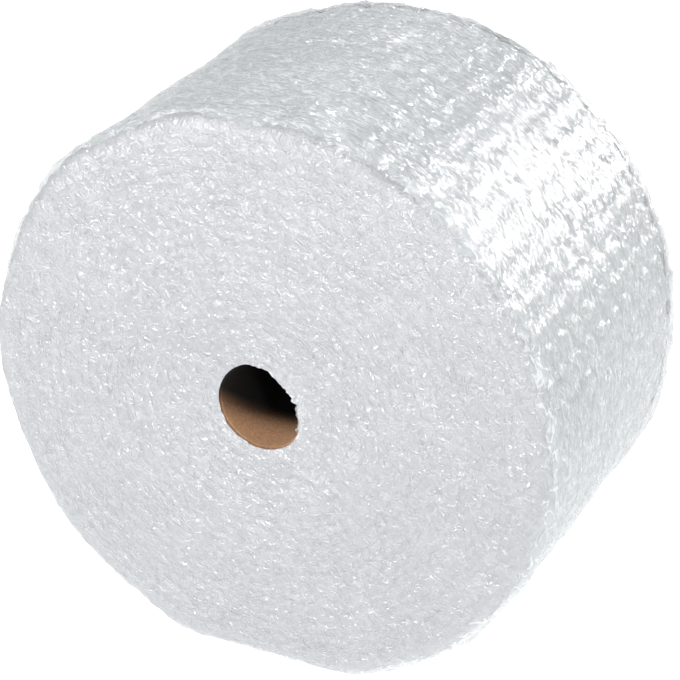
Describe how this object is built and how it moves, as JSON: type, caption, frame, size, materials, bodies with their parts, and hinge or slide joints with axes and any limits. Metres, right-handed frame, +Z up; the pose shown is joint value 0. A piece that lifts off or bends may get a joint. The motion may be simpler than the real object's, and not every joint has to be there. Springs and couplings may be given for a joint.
{
  "type": "bubble film roll",
  "caption": "Soft roll of clear large-bubble packing film wound on a paper core, lying on its side on a small flat spot, its turns showing as a spiral at both ends.",
  "frame": {"origin": "on the resting plane, under the middle of the roll", "axes": "+Z up, +Y along the winding axis into the core, +X across the roll"},
  "size_m": [0.5094, 0.305, 0.501],
  "materials": {
    "film": "clear crinkled polyethylene, milky where many turns lie together",
    "core": "spiral-wound brown kraft board"
  },
  "bodies": {
    "root": {"bubble_film": "film", "core_tube": "core"}
  },
  "joints": []
}
